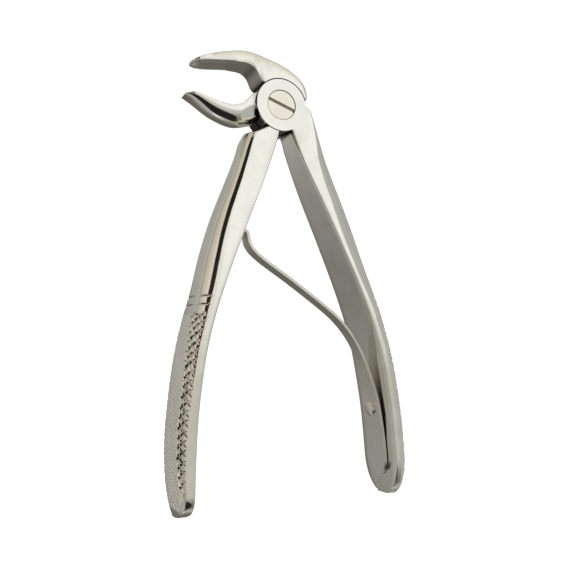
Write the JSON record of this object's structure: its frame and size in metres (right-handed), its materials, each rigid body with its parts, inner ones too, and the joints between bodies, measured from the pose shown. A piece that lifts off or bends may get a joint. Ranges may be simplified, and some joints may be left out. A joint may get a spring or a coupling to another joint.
{
  "type": "dental extraction forceps",
  "caption": "Stainless steel tooth extraction forceps with lapped screw joint, curved serrated beaks, knurled handles and a leaf spring that opens them.",
  "frame": {"origin": "on the pivot axis, at the back face of the joint", "axes": "+Z along the pivot axis towards the screw's head, +Y towards the beaks, +X towards the front half's handle"},
  "size_m": [0.0663, 0.1219, 0.0175],
  "materials": {
    "polished_steel": "mirror-polished stainless steel, knurled on the grips",
    "screw_steel": "fine ground stainless steel",
    "spring_steel": "satin rolled spring steel",
    "rivet_steel": "satin stainless steel, head formed by hammering"
  },
  "bodies": {
    "rear": {"rear_half": "polished_steel", "pivot_screw": "screw_steel"},
    "front": {"front_half": "polished_steel", "spring_seat": "spring_steel", "spring_rivet": "rivet_steel"},
    "spring": {"spring_arm": "spring_steel"}
  },
  "joints": [
    {"name": "forceps_joint", "type": "hinge", "parent": "rear", "child": "front", "pos_m": [0, 0, 0.00445], "axis": [0, 0, 1], "range_deg": [-17, 4]},
    {"name": "spring_flex", "type": "hinge", "parent": "front", "child": "spring", "pos_m": [0.0266, -0.0696, 0.00445], "axis": [0, 0, 1], "range_deg": [-22.5, 5.5]}
  ],
  "couplings": [
    {"joint": "spring_flex", "follows": "forceps_joint", "ratio": 1.3}
  ]
}
